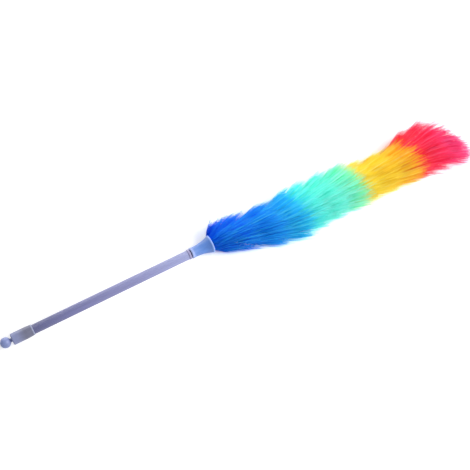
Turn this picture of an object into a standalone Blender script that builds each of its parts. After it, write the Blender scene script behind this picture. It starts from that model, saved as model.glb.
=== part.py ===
"""Static duster with a pull-out handle and a plume of plastic fibre in four colours.

It lies as it would on a table: handle along X with its butt at the low end, plume towards +X,
fibre pressed flat underneath. Lengths are in metres.
"""

import math

import bmesh
import bpy
from mathutils import Vector

MM = 0.001

# Clearance between pieces that touch or slide on the real duster
FIT_GAP = 0.3 * MM
AXIS_HEIGHT = 14.5 * MM

# Ball knob
BALL_RADIUS = 7.3 * MM
NECK_RADIUS = 2.6 * MM
NECK_SHOWN = 2.0 * MM
BARB_LIP = 1.0 * MM
BARB_LENGTH = 3.4 * MM
BARB_POINT_SHARE = 0.6

# End cap
CAP_WALL = 1.1 * MM
CAP_LENGTH = 30.0 * MM
CAP_END_WALL = 2.0 * MM
CAP_BEVEL = 1.2 * MM
CAP_TAPER_LENGTH = 9.0 * MM
CAP_RIM_WALL = 0.5 * MM

# Fluted outer tube
TUBE_RADIUS = 6.6 * MM
TUBE_WALL = 1.2 * MM
TUBE_LENGTH = 255.0 * MM
FLUTE_DEPTH = 0.3 * MM
FLUTE_COUNT = 20
FLUTE_SHARES = (0.0, 0.6, 1.0, 0.6)

# Ring in the tube's mouth
RING_LIP = 0.75 * MM
RING_LENGTH = 3.0 * MM
RING_BEVEL = 0.5 * MM
SPIGOT_WALL = 0.7 * MM
SPIGOT_LENGTH = 12.0 * MM

# Sliding inner tube, its bush and its friction ring
INNER_WALL = 0.9 * MM
BUSH_SETBACK = 38.7 * MM
MOUTH_GAP = 1.4 * MM
BUSH_LENGTH = 24.0 * MM
BUSH_PLUG_LENGTH = 12.0 * MM
BUSH_BORE_RADIUS = 1.5 * MM
FRICTION_RING_WIDTH = 2.4 * MM
FRICTION_RING_DEPTH = 1.2 * MM

# Trumpet-shaped ferrule
FERRULE_LENGTH = 31.6 * MM
FERRULE_NOSE_RADIUS = 7.45 * MM
FERRULE_LIP = 0.4 * MM
FERRULE_LIP_LENGTH = 2.8 * MM
BELL_RADIUS = 13.1 * MM
BELL_WALL = 1.3 * MM
FLARE_POWER_SHARE = 2.3
SOCKET_LENGTH = 14.0 * MM

# Plug that holds the core
PLUG_LENGTH = 8.0 * MM
PLUG_WALL = 3.0 * MM

# Core: one wire folded at the tip and twisted
WIRE_RADIUS = 1.0 * MM
CORE_TWIST = 40.0 * MM
CORE_TAIL = 6.0 * MM
CORE_TIP_SHOWN = 4.0 * MM
POINTS_PER_TWIST = 10
LOOP_POINTS = 3

# The way the plume leans: a slow drift to the near side, then a curl of the fibre past the tip
DRIFT = 14.0 * MM
DRIFT_LENGTH = 130.0 * MM
CURL = 28.0 * MM
CURL_LENGTH = 65.0 * MM
CURL_SETBACK = 7.0 * MM

# Plume
PLUME_LENGTH = 364.0 * MM
PLUME_INSET = 5.0 * MM
COLOURS = ("blue", "turquoise", "yellow", "red")
TUFTS_PER_COLOUR = 3
ROWS_PER_TUFT = 3
STRANDS_PER_ROW = 9
NEAR_RADIUS = 38.0 * MM
FAR_RADIUS = 38.0 * MM
TOP_RADIUS = 31.0 * MM
REACH = 62.0 * MM
SLEEVE_WALL = 1.9 * MM
STRAND_WIDTH = 2.8 * MM
STRAND_ROOT_LENGTH = 2.6 * MM
PRESSED_DEPTH = 0.5 * MM

# How wide each colour's first and last rows stand on either side, as shares of the full radii
NEAR_SHARES = ((0.80, 1.05), (0.89, 0.90), (0.85, 0.98), (1.00, 1.00))
FAR_SHARES = ((0.86, 0.93), (0.99, 0.90), (0.90, 1.02), (1.10, 1.10))
TIP_ROW_SHARES = (0.62, 0.28)
# Stations along a strand, with its width there, before the point
STATION_SHARES = (0.35, 0.70)
WIDTH_SHARES = (1.0, 0.62)
END_SLOPE_SHARE = 0.6
REACH_POWER_SHARE = 1.3
LENGTH_JITTER_SHARE = 0.12
STAGGER_SHARE = 0.5
LOOK_AHEAD_SHARE = 0.01

TURNED_STEPS = 32
BALL_ARC_POINTS = 13
FLARE_POINTS = 10

# Sizes that follow from those above
TUBE_BORE = TUBE_RADIUS - TUBE_WALL
CAP_BORE = TUBE_RADIUS + FIT_GAP
CAP_RADIUS = CAP_BORE + CAP_WALL
NECK_START = BALL_RADIUS + math.sqrt(max(BALL_RADIUS**2 - NECK_RADIUS**2, 0))
CAP_START = NECK_START + NECK_SHOWN
CAP_INNER_START = CAP_START + CAP_END_WALL
TUBE_START = CAP_INNER_START + BARB_LENGTH + 2 * FIT_GAP
TUBE_END = TUBE_START + TUBE_LENGTH
RING_END = TUBE_END + FIT_GAP + RING_LENGTH
SPIGOT_START = TUBE_END - SPIGOT_LENGTH
SPIGOT_BORE = TUBE_BORE - FIT_GAP - SPIGOT_WALL
INNER_RADIUS = SPIGOT_BORE - FIT_GAP
INNER_BORE = INNER_RADIUS - INNER_WALL
FERRULE_START = RING_END + MOUTH_GAP
FERRULE_END = FERRULE_START + FERRULE_LENGTH
BUSH_START = TUBE_START + BUSH_SETBACK
BUSH_END = BUSH_START + BUSH_LENGTH
INNER_START = BUSH_END + FIT_GAP
INNER_END = FERRULE_START + SOCKET_LENGTH - FIT_GAP
TWIST_RADIUS = WIRE_RADIUS + FIT_GAP / 2
CORE_RADIUS = TWIST_RADIUS + WIRE_RADIUS
PLUG_START = FERRULE_START + SOCKET_LENGTH
PLUG_BORE = CORE_RADIUS + FIT_GAP
PLUG_RADIUS = PLUG_BORE + PLUG_WALL
PLUG_END = PLUG_START + PLUG_LENGTH
PLUME_START = FERRULE_END - PLUME_INSET
PLUME_END = PLUME_START + PLUME_LENGTH
CORE_START = PLUG_START - CORE_TAIL
CORE_END = PLUME_END + CORE_TIP_SHOWN
TUFT_PITCH = PLUME_LENGTH / (len(COLOURS) * TUFTS_PER_COLOUR)
ROW_PITCH = TUFT_PITCH / ROWS_PER_TUFT
FACE_TURN = 2 * math.pi / STRANDS_PER_ROW
SLEEVE_BORE = (CORE_RADIUS + FIT_GAP) / math.cos(FACE_TURN / 2)
SLEEVE_RADIUS = SLEEVE_BORE + SLEEVE_WALL

MATERIALS = {
    "milky_plastic": ((0.52, 0.58, 0.80), 0.35, 0.0),
    "lilac_plastic": ((0.47, 0.44, 0.63), 0.40, 0.0),
    "inner_plastic": ((0.16, 0.15, 0.24), 0.45, 0.0),
    "black_rubber": ((0.03, 0.03, 0.04), 0.80, 0.0),
    "steel_wire": ((0.60, 0.60, 0.62), 0.35, 1.0),
    "blue_fibre": ((0.01, 0.13, 0.79), 0.50, 0.0),
    "turquoise_fibre": ((0.13, 0.87, 0.71), 0.50, 0.0),
    "yellow_fibre": ((1.00, 0.58, 0.03), 0.50, 0.0),
    "red_fibre": ((1.00, 0.03, 0.07), 0.50, 0.0),
}


def clear_scene():
    for obj in list(bpy.data.objects):
        bpy.data.objects.remove(obj, do_unlink=True)


def make_material(name):
    colour, roughness, metallic = MATERIALS[name]
    material = bpy.data.materials.new(name)
    material.use_nodes = True
    shader = material.node_tree.nodes["Principled BSDF"]
    shader.inputs["Base Color"].default_value = (*colour, 1.0)
    shader.inputs["Roughness"].default_value = roughness
    shader.inputs["Metallic"].default_value = metallic
    material.diffuse_color = (*colour, 1.0)
    return material


class Build:
    """The collection, the materials and the parent that every piece is given."""

    def __init__(self):
        self.collection = bpy.data.collections.new("static_duster")
        bpy.context.scene.collection.children.link(self.collection)
        self.materials = {name: make_material(name) for name in MATERIALS}
        self.root = self.empty("duster_origin")
        self.handle = self.empty("handle_axis", self.root)
        self.slide = self.empty("slide_axis", self.root)

    def empty(self, name, parent=None):
        obj = bpy.data.objects.new(name, None)
        obj.parent = parent
        self.collection.objects.link(obj)
        return obj

    def place(self, obj, parent, material):
        obj.data.materials.append(self.materials[material])
        obj.parent = parent
        self.collection.objects.link(obj)
        return obj

    def turned(self, name, profile, parent, material):
        """A shape turned round the handle's axis. The profile is a closed loop of (station, radius), or
        an open run from axis to axis, and runs back along the outside and forward along the bore."""
        bm = bmesh.new()
        rows = [bm.verts.new((radius, 0, station)) for station, radius in profile]
        for first, second in zip(rows, rows[1:]):
            bm.edges.new((first, second))
        if profile[0][1] > 0:
            bm.edges.new((rows[-1], rows[0]))
        mesh = bpy.data.meshes.new(name)
        bm.to_mesh(mesh)
        bm.free()
        obj = self.place(bpy.data.objects.new(name, mesh), parent, material)
        obj.location.z = AXIS_HEIGHT
        obj.rotation_euler.y = math.pi / 2
        screw = obj.modifiers.new("turn", "SCREW")
        screw.axis = "Z"
        screw.steps = TURNED_STEPS
        screw.render_steps = TURNED_STEPS
        screw.use_merge_vertices = True
        screw.merge_threshold = MM / 100
        screw.use_smooth_shade = True
        return obj


def make_ball_knob(build):
    """Ball, neck and barb. The barb snaps through the hole in the cap's end wall."""
    neck_end = CAP_INNER_START + FIT_GAP
    barb_end = neck_end + BARB_LENGTH
    barb_radius = NECK_RADIUS + BARB_LIP
    profile = [
        (barb_end, 0),
        (barb_end, barb_radius * BARB_POINT_SHARE),
        (neck_end + BARB_LENGTH / 4, barb_radius),
        (neck_end, barb_radius),
        (neck_end, NECK_RADIUS),
    ]
    start = math.asin(min(NECK_RADIUS / BALL_RADIUS, 1))
    for i in range(BALL_ARC_POINTS):
        turn = start + (math.pi - start) * i / (BALL_ARC_POINTS - 1)
        radius = BALL_RADIUS * math.sin(turn) if i < BALL_ARC_POINTS - 1 else 0
        profile.append((BALL_RADIUS + BALL_RADIUS * math.cos(turn), radius))
    build.turned("ball_knob", profile, build.handle, "milky_plastic")


def make_end_cap(build):
    end = CAP_START + CAP_LENGTH
    profile = [
        (end, CAP_BORE + CAP_RIM_WALL),
        (end - CAP_TAPER_LENGTH, CAP_RADIUS),
        (CAP_START + CAP_BEVEL, CAP_RADIUS),
        (CAP_START, CAP_RADIUS - CAP_BEVEL),
        (CAP_START, NECK_RADIUS + FIT_GAP),
        (CAP_INNER_START, NECK_RADIUS + FIT_GAP),
        (CAP_INNER_START, CAP_BORE),
        (end, CAP_BORE),
    ]
    build.turned("end_cap", profile, build.handle, "milky_plastic")


def make_outer_tube(build):
    """Extruded tube: a fluted outline with a round bore."""
    curve = bpy.data.curves.new("outer_tube", "CURVE")
    curve.dimensions = "2D"
    curve.fill_mode = "BOTH"
    curve.extrude = TUBE_LENGTH / 2
    outline = [TUBE_RADIUS - FLUTE_DEPTH * share for share in FLUTE_SHARES] * FLUTE_COUNT
    for radii in (outline, [TUBE_BORE] * TURNED_STEPS):
        spline = curve.splines.new("POLY")
        spline.points.add(len(radii) - 1)
        for i, radius in enumerate(radii):
            turn = 2 * math.pi * i / len(radii)
            spline.points[i].co = (radius * math.cos(turn), radius * math.sin(turn), 0, 1)
        spline.use_cyclic_u = True
    tube = build.place(bpy.data.objects.new("outer_tube", curve), build.handle, "lilac_plastic")
    tube.location = ((TUBE_START + TUBE_END) / 2, 0, AXIS_HEIGHT)
    tube.rotation_euler.y = math.pi / 2


def make_mouth_ring(build):
    """Collar on the tube's mouth. Its spigot guides the inner tube and stops the bush."""
    radius = TUBE_RADIUS + RING_LIP
    spigot = TUBE_BORE - FIT_GAP
    flange = TUBE_END + FIT_GAP
    profile = [
        (RING_END, SPIGOT_BORE),
        (RING_END, radius - RING_BEVEL),
        (RING_END - RING_BEVEL, radius),
        (flange, radius),
        (flange, spigot),
        (SPIGOT_START, spigot),
        (SPIGOT_START, SPIGOT_BORE),
    ]
    build.turned("mouth_ring", profile, build.handle, "lilac_plastic")


def make_inner_tube(build):
    profile = [
        (INNER_END, INNER_RADIUS),
        (INNER_START, INNER_RADIUS),
        (INNER_START, INNER_BORE),
        (INNER_END, INNER_BORE),
    ]
    build.turned("inner_tube", profile, build.slide, "inner_plastic")


def make_slide_bush(build):
    """Plug in the inner tube's rear end, with a groove for the friction ring."""
    radius = TUBE_BORE - FIT_GAP
    groove = radius - FRICTION_RING_DEPTH - FIT_GAP
    middle = (BUSH_START + BUSH_END) / 2
    half_groove = FRICTION_RING_WIDTH / 2 + FIT_GAP
    plug = INNER_BORE - FIT_GAP
    profile = [
        (BUSH_END + BUSH_PLUG_LENGTH, plug),
        (BUSH_END, plug),
        (BUSH_END, radius),
        (middle + half_groove, radius),
        (middle + half_groove, groove),
        (middle - half_groove, groove),
        (middle - half_groove, radius),
        (BUSH_START, radius),
        (BUSH_START, BUSH_BORE_RADIUS),
        (BUSH_END + BUSH_PLUG_LENGTH, BUSH_BORE_RADIUS),
    ]
    build.turned("slide_bush", profile, build.slide, "inner_plastic")


def make_friction_ring(build):
    outer = TUBE_BORE - FIT_GAP / 2
    inner = outer - FRICTION_RING_DEPTH
    middle = (BUSH_START + BUSH_END) / 2
    half = FRICTION_RING_WIDTH / 2
    profile = [
        (middle + half, inner),
        (middle + half, outer - FIT_GAP),
        (middle + half / 2, outer),
        (middle - half / 2, outer),
        (middle - half, outer - FIT_GAP),
        (middle - half, inner),
    ]
    build.turned("friction_ring", profile, build.slide, "black_rubber")


def make_ferrule(build):
    """Trumpet with a lip at its small end. It has a socket for the inner tube, then a seat for the plug."""
    lip_radius = FERRULE_NOSE_RADIUS + FERRULE_LIP
    lip_end = FERRULE_START + FERRULE_LIP_LENGTH
    seat = PLUG_RADIUS + FIT_GAP
    flare = []
    for i in range(FLARE_POINTS + 1):
        share = i / FLARE_POINTS
        widening = (BELL_RADIUS - FERRULE_NOSE_RADIUS) * share**FLARE_POWER_SHARE
        flare.append((lip_end + (FERRULE_END - lip_end) * share, FERRULE_NOSE_RADIUS + widening))
    bore = [
        (FERRULE_START, INNER_RADIUS + FIT_GAP),
        (PLUG_START - FIT_GAP, INNER_RADIUS + FIT_GAP),
        (PLUG_START - FIT_GAP, seat),
        (PLUG_END, seat),
    ]
    for station, radius in flare:
        if station > PLUG_END and radius - BELL_WALL > seat:
            bore.append((station, radius - BELL_WALL))
    outside = list(reversed(flare)) + [(lip_end, lip_radius), (FERRULE_START, lip_radius)]
    build.turned("ferrule", outside + bore, build.slide, "milky_plastic")


def make_core_plug(build):
    profile = [
        (PLUG_END, PLUG_RADIUS),
        (PLUG_START, PLUG_RADIUS),
        (PLUG_START, PLUG_BORE),
        (PLUG_END, PLUG_BORE),
    ]
    build.turned("core_plug", profile, build.slide, "inner_plastic")


def core_centre(station):
    """Place of the plume's centre line, which leaves the axis by a drift and then by a curl. Past its
    curl it runs straight on."""
    share = min(max((station - PLUME_START) / DRIFT_LENGTH, 0), 1)
    drift = DRIFT * share * share * (3 - 2 * share)
    curled = max((station - (PLUME_END - CURL_SETBACK)) / CURL_LENGTH, 0)
    curl = CURL * (curled * curled if curled < 1 else 2 * curled - 1)
    return Vector((station, -drift - curl, AXIS_HEIGHT))


def core_frame(station):
    """Centre, forward direction and far-side direction of the plume at this station."""
    step = TUFT_PITCH / 100
    ahead = core_centre(station + step) - core_centre(station - step)
    forward = ahead.normalized()
    far_side = Vector((0, 0, 1)).cross(forward).normalized()
    return core_centre(station), forward, far_side


def make_core_wire(build):
    """One wire: out along the twist, round the loop at the tip and back along the twist."""
    twists = (CORE_END - CORE_START) / CORE_TWIST
    count = math.ceil(twists * POINTS_PER_TWIST)

    def strand_point(index, half_turn):
        station = CORE_START + (CORE_END - CORE_START) * index / count
        turn = 2 * math.pi * twists * index / count + half_turn
        centre, _, far_side = core_frame(station)
        return centre + TWIST_RADIUS * (math.cos(turn) * far_side + math.sin(turn) * Vector((0, 0, 1)))

    out = [strand_point(i, 0) for i in range(count + 1)]
    back = [strand_point(i, math.pi) for i in range(count, -1, -1)]
    centre, forward, _ = core_frame(CORE_END)
    across = (out[-1] - centre).normalized()
    loop = []
    for i in range(1, LOOP_POINTS + 1):
        turn = math.pi * i / (LOOP_POINTS + 1)
        loop.append(centre + TWIST_RADIUS * (math.cos(turn) * across + math.sin(turn) * forward))
    points = out + loop + back

    curve = bpy.data.curves.new("core_wire", "CURVE")
    curve.dimensions = "3D"
    curve.bevel_depth = WIRE_RADIUS
    curve.bevel_resolution = 1
    curve.use_fill_caps = True
    spline = curve.splines.new("POLY")
    spline.points.add(len(points) - 1)
    for slot, point in zip(spline.points, points):
        slot.co = (*point, 1)
    build.place(bpy.data.objects.new("core_wire", curve), build.slide, "steel_wire")


def spread_radii(band, row):
    """Distances from the core that one row of a colour band reaches: near side, far side and top."""
    rows = TUFTS_PER_COLOUR * ROWS_PER_TUFT
    from_end = rows - 1 - row
    tip_share = 1
    if band == len(COLOURS) - 1 and from_end < len(TIP_ROW_SHARES):
        tip_share = TIP_ROW_SHARES[len(TIP_ROW_SHARES) - 1 - from_end]
    near, far = (
        tip_share * (first + (last - first) * row / (rows - 1))
        for first, last in (NEAR_SHARES[band], FAR_SHARES[band])
    )
    return near * NEAR_RADIUS, far * FAR_RADIUS, (near + far) / 2 * TOP_RADIUS


def strand_radius_at_tip(turn, near, far, top):
    """Distance of a strand's tip from the core: least at the top, most at the sides."""
    side = near if turn < 0 else far
    lean = math.sin(min(abs(turn), math.pi / 2)) ** 2
    return top + (side - top) * lean


def turn_on_floor(turn, radius, height):
    """Turn from straight up at this distance from the core. Strands that would pass through the table
    fan out along it instead, all others giving way in proportion, so none cross."""
    lowest = math.pi - FACE_TURN / 2
    if radius * math.cos(math.pi - lowest) <= height:
        return turn
    return turn * (math.pi / 2 + math.asin(height / radius)) / lowest


def plume_point(root, turn, radius, reach, height):
    """Point at this turn and distance from the plume's centre line, with the directions forward and out."""
    centre, forward, _ = core_frame(root + reach)
    bent = turn_on_floor(turn, radius, height)
    out = Vector((0, math.sin(bent), math.cos(bent)))
    return centre + radius * out, forward, out


def strand_centre(root, turn, tip_radius, length, share, stagger):
    """Point on a strand's centre line: steep at the root, then swept forward. A shorter strand follows
    the same line and stops sooner."""
    share = share * length
    rise = (1 - END_SLOPE_SHARE) * (2 * share - share * share) + END_SLOPE_SHARE * share
    radius = SLEEVE_RADIUS + (tip_radius - SLEEVE_RADIUS) * rise
    reach = REACH * share**REACH_POWER_SHARE
    height = AXIS_HEIGHT - STRAND_WIDTH / 2 + PRESSED_DEPTH
    lowest = math.pi - FACE_TURN / 2
    shifted = turn + stagger * min(2 * share, 1) * (1 - (turn / lowest) ** 2)
    return plume_point(root, shifted, radius, reach, height)


def length_share(tuft, row, column):
    """A little unevenness from strand to strand, by a fixed rule."""
    wave = math.sin(12.9 * (tuft * ROWS_PER_TUFT + row) + 78.2 * column)
    return 1 - LENGTH_JITTER_SHARE * (0.5 + 0.5 * wave)


def grow_strand(bm, face, root, turn, tip_radius, length, stagger):
    """Draws one strand out of a face of the sleeve and brings it to a point."""
    middle = face.calc_center_median()
    centre, forward, _ = core_frame(root)
    out = (middle - centre).normalized()
    around = forward.cross(out)
    for share, width_share in zip(STATION_SHARES, WIDTH_SHARES):
        signs = [
            (math.copysign(1, (v.co - middle).dot(around)), math.copysign(1, (v.co - middle).dot(forward)))
            for v in face.verts
        ]
        drawn = bmesh.ops.extrude_discrete_faces(bm, faces=[face])["faces"][0]
        here, ahead, out_here = strand_centre(root, turn, tip_radius, length, share, stagger)
        past = strand_centre(root, turn, tip_radius, length, share + LOOK_AHEAD_SHARE, stagger)[0]
        along = (past - here).normalized()
        across = ahead.cross(out_here).normalized()
        under = across.cross(along).normalized()
        if under.dot(ahead) < 0:
            under.negate()
        half = STRAND_WIDTH * width_share / 2
        for v, (sign_around, sign_forward) in zip(drawn.verts, signs):
            v.co = here + half * (sign_around * across + sign_forward * under)
            v.co.z = max(v.co.z, 0)
        face, middle, forward, around = drawn, here, under, across
    tip = bmesh.ops.poke(bm, faces=[face])["verts"][0]
    tip.co = strand_centre(root, turn, tip_radius, length, 1, stagger)[0]
    tip.co.z = max(tip.co.z, 0)


def make_sleeve(stations):
    """Straight ring of gripped fibre on X, one flat for each strand of a row, cut along its length at the
    stations."""
    bm = bmesh.new()
    profile = [(station, SLEEVE_RADIUS) for station in stations]
    profile += [(station, SLEEVE_BORE) for station in reversed(stations)]
    corners = []
    for i in range(STRANDS_PER_ROW):
        turn = (i + 0.5) * FACE_TURN
        out = Vector((0, math.sin(turn), math.cos(turn)))
        corners.append([bm.verts.new(Vector((station, 0, 0)) + radius * out) for station, radius in profile])
    for here, following in zip(corners, corners[1:] + corners[:1]):
        for i in range(len(profile)):
            bm.faces.new((here[i - 1], here[i], following[i], following[i - 1]))
    bm.normal_update()
    return bm


def strand_faces(bm, rows):
    """The sleeve's outer faces that strands grow from, each with its row and its turn from the top."""
    found = []
    for face in bm.faces:
        middle = face.calc_center_median()
        if math.hypot(middle.y, middle.z) < SLEEVE_BORE + SLEEVE_WALL * 0.3:
            continue
        row = min(range(len(rows)), key=lambda i: abs(rows[i] - middle.x))
        if abs(rows[row] - middle.x) < STRAND_ROOT_LENGTH / 4 and abs(face.normal.x) < 0.5:
            found.append((face, row, math.atan2(middle.y, middle.z)))
    return found


def make_tuft(build, band, number):
    """A sleeve of fibre gripped by the wire, with rows of strands drawn out of its faces."""
    tuft = band * TUFTS_PER_COLOUR + number
    start = PLUME_START + tuft * TUFT_PITCH
    rows = [start + (row + 0.5) * ROW_PITCH for row in range(ROWS_PER_TUFT)]
    stations = [start + FIT_GAP / 2]
    for root in rows:
        stations += [root - STRAND_ROOT_LENGTH / 2, root + STRAND_ROOT_LENGTH / 2]
    stations.append(start + TUFT_PITCH - FIT_GAP / 2)
    bm = make_sleeve(stations)
    grown = strand_faces(bm, rows)
    for vert in bm.verts:
        centre, _, far_side = core_frame(vert.co.x)
        vert.co = centre + vert.co.y * far_side + vert.co.z * Vector((0, 0, 1))
    for face, row, turn in grown:
        tip_radius = strand_radius_at_tip(turn, *spread_radii(band, number * ROWS_PER_TUFT + row))
        stagger = FACE_TURN * STAGGER_SHARE * ((row + tuft) % 2)
        length = length_share(tuft, row, round(turn / FACE_TURN))
        grow_strand(bm, face, rows[row], turn, tip_radius, length, stagger)
    name = f"{COLOURS[band]}_tuft_{number + 1}"
    mesh = bpy.data.meshes.new(name)
    bm.to_mesh(mesh)
    bm.free()
    build.place(bpy.data.objects.new(name, mesh), build.slide, f"{COLOURS[band]}_fibre")


def settle_origin(build):
    """Moves the whole duster so that the origin is under the middle of its box."""
    bpy.context.view_layer.update()
    graph = bpy.context.evaluated_depsgraph_get()
    corners = []
    for obj in build.collection.objects:
        if obj.type == "EMPTY":
            continue
        evaluated = obj.evaluated_get(graph)
        mesh = evaluated.to_mesh()
        corners += [evaluated.matrix_world @ vert.co for vert in mesh.vertices]
        evaluated.to_mesh_clear()
    for side in (0, 1):
        values = [corner[side] for corner in corners]
        build.root.location[side] = -(min(values) + max(values)) / 2


def main():
    clear_scene()
    build = Build()
    make_ball_knob(build)
    make_end_cap(build)
    make_outer_tube(build)
    make_mouth_ring(build)
    make_inner_tube(build)
    make_slide_bush(build)
    make_friction_ring(build)
    make_ferrule(build)
    make_core_plug(build)
    make_core_wire(build)
    for band in range(len(COLOURS)):
        for number in range(TUFTS_PER_COLOUR):
            make_tuft(build, band, number)
    settle_origin(build)


main()
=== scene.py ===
"""Dressed model of a static duster with a pull-out handle, laid on a white table.

The plume is drawn fibre by fibre in twelve tufts, and the handle's pieces are turned with rounded
edges. Lengths are in metres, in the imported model's frame: handle along X, plume towards +X, +Z up.
"""

import math

import bmesh
import bpy
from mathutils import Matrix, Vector


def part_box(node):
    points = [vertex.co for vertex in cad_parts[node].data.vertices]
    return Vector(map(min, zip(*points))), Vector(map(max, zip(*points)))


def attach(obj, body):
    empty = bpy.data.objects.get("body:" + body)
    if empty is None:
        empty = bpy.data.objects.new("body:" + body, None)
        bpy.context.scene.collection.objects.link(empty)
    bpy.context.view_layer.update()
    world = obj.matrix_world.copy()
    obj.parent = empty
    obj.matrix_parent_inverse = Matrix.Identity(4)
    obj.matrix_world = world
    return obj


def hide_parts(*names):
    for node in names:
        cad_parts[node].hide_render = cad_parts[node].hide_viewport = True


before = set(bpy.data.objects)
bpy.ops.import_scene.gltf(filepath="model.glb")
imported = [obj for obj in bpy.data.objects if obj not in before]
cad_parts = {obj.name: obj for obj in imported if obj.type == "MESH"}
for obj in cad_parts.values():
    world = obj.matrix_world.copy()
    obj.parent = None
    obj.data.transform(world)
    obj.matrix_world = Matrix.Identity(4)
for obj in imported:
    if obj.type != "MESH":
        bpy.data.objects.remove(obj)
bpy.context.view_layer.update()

MM = 0.001

# Where the handle's butt is, and where its axis runs
AXIS_HEIGHT = 14.5 * MM
BUTT_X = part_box("ball_knob")[0].x
AXIS_Y = (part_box("ferrule")[0].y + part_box("ferrule")[1].y) / 2

# The plume's centre line: a drift to the near side, then a curl of the fibre past the core's tip
PLUME_START = 308.42 * MM
PLUME_LENGTH = 364.0 * MM
DRIFT = 14.0 * MM
DRIFT_LENGTH = 130.0 * MM
CURL = 28.0 * MM
CURL_LENGTH = 65.0 * MM
CURL_SETBACK = 7.0 * MM
# The guide that fibres follow: its step, and how far it goes on past the last roots
GUIDE_STEP = 4.0 * MM
GUIDE_SPARE = 90.0 * MM

COLOURS = ("blue", "turquoise", "yellow", "red")
TUFTS_PER_COLOUR = 3

POLYPROPYLENE_IOR = 1.49


def linear(hex_colour):
    """sRGB hex text as linear RGBA."""
    values = [int(hex_colour[i : i + 2], 16) / 255 for i in (1, 3, 5)]
    return (*(v / 12.92 if v <= 0.04045 else ((v + 0.055) / 1.055) ** 2.4 for v in values), 1.0)


def add(tree, kind, inputs=None, **settings):
    """Adds a node and gives its first output in use. Settings are its properties, and inputs are
    sockets to link or values to set, by the socket's name or number."""
    node = tree.nodes.new(kind)
    for name, value in settings.items():
        setattr(node, name, value)
    for key, value in (inputs or {}).items():
        if isinstance(key, int):
            socket = node.inputs[key]
        else:
            socket = next(s for s in node.inputs if s.enabled and s.name == key)
        if isinstance(value, bpy.types.NodeSocket):
            tree.links.new(value, socket)
        else:
            socket.default_value = value
    return next((s for s in node.outputs if s.enabled), None)


def node_group(name, sizes):
    """An empty Geometry Nodes tree with named inputs, and its input sockets."""
    tree = bpy.data.node_groups.new(name, "GeometryNodeTree")
    for size, kind in (("Geometry", "Geometry"), *sizes):
        tree.interface.new_socket(size, in_out="INPUT", socket_type=f"NodeSocket{kind}")
    tree.interface.new_socket("Geometry", in_out="OUTPUT", socket_type="NodeSocketGeometry")
    return tree, tree.nodes.new("NodeGroupInput").outputs


def grown(tree, start, settings):
    """The plain mesh that a tree makes of a starting mesh with these settings."""
    shell = bpy.data.objects.new("shell", start)
    bpy.context.scene.collection.objects.link(shell)
    modifier = shell.modifiers.new("growth", "NODES")
    modifier.node_group = tree
    for item in tree.interface.items_tree:
        if item.in_out == "INPUT" and item.name in settings:
            modifier[item.identifier] = settings[item.name]
    bpy.context.view_layer.update()
    graph = bpy.context.evaluated_depsgraph_get()
    mesh = bpy.data.meshes.new_from_object(shell.evaluated_get(graph))
    bpy.data.objects.remove(shell)
    return mesh


def finish_piece(name, mesh, body, slot, *nodes):
    """Makes a mesh a piece that rides on its body and stands for its CAD nodes."""
    mesh.name = name
    piece = bpy.data.objects.new(name, mesh)
    bpy.context.scene.collection.objects.link(piece)
    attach(piece, body)
    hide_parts(*nodes)


# A tuft's named inputs
TUFT_INPUTS = (
    ("Fibres", "Int"),
    ("Clump Size", "Int"),
    ("Seed", "Int"),
    ("Start", "Float"),
    ("Pitch", "Float"),
    ("Band Start", "Float"),
    ("Band Length", "Float"),
    ("Near", "Float"),
    ("Near Growth", "Float"),
    ("Far", "Float"),
    ("Far Growth", "Float"),
    ("Top", "Float"),
    ("Top Growth", "Float"),
    ("Reach", "Float"),
    ("Reach Growth", "Float"),
    ("Fibre Radius", "Float"),
    ("Material", "Material"),
)

# What chance gives each clump or fibre: name, owner, least and most
DRAWS = (
    ("clump place", "clump", 0.0, 1.0),
    ("clump turn", "clump", -0.012, 0.012),
    ("clump length", "clump", 0.86, 1.0),
    ("clump sway", "clump", -0.10, 0.10),
    ("clump height", "clump", 0.0, 1.0),
    ("clump tint", "clump", 0.0, 1.0),
    ("fibre length", "fibre", 0.76, 1.0),
    ("fibre turn", "fibre", -0.052, 0.052),
    ("fibre root", "fibre", -2.4 * MM, 2.4 * MM),
    ("fibre spread", "fibre", 0.98, 1.02),
    ("fibre phase", "fibre", 0.0, 2 * math.pi),
    ("fibre band", "fibre", -0.2, 0.2),
    ("fibre tint", "fibre", 0.0, 1.0),
)

GOLDEN_SHARE = 0.6180339887
# Points along a fibre, which are enough for its bow
FIBRE_POINTS = 5
# How much a tuft's roots are gathered to its start, which shows the tufts as steps
LAYERING = 0.6
# How much further fibres are swept on the near side than on top, and on top than on the far side
SLANT = 5.0 * MM
# How far a clump's fibres are still apart at their tips, as a share of what they are at the root
CLOSED_SHARE = 0.14
# A fibre rises fast at first and runs along the plume later: above 1, it is bowed
RISE = 1.15
# It gains ground along the plume faster towards its tip: above 1
REACH_POWER = 1.12
# Where it starts, from the core's middle
ROOT_RADIUS = 4.0 * MM
# Its crimp: how far out and in, and the wave's angle from root to tip in radians
CRIMP = 0.7 * MM
CRIMP_ANGLE = 9.0
# Clumps end at different distances: the furthest, as a share of the tuft's size, and how much less
# the nearest is. One in a few strays beyond the rest.
CLUMP_MOST = 1.02
CLUMP_SPREAD = 0.12
STRAY_POWER = 9.0
STRAY_SHARE = 0.10
# How much paler a clump is painted the further it stands out: painted light, with deep clumps
# darker as painted shade
PROUD_PAINTED_LIGHT = 0.6
# Locks: how wide they are, the radius they are laid out on, the range of the noise that makes
# them, and how much they stand out and are painted paler (painted light)
LOCK_SIZE = 16.0 * MM
LOCK_RADIUS = 30.0 * MM
LOCK_NOISE = (0.25, 0.75)
LOCK_SPREAD = 0.05
LOCK_PAINTED_LIGHT = 0.22
# A fibre is a strip of film: its sides, its thickness as a share of its width, and how far it rolls
FILM_SIDES = 3
FILM_SHARE = 0.3
ROLL = 0.35
# How thick a fibre is at its tip, as a share of its root
TIP_TAPER = 0.3
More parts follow.
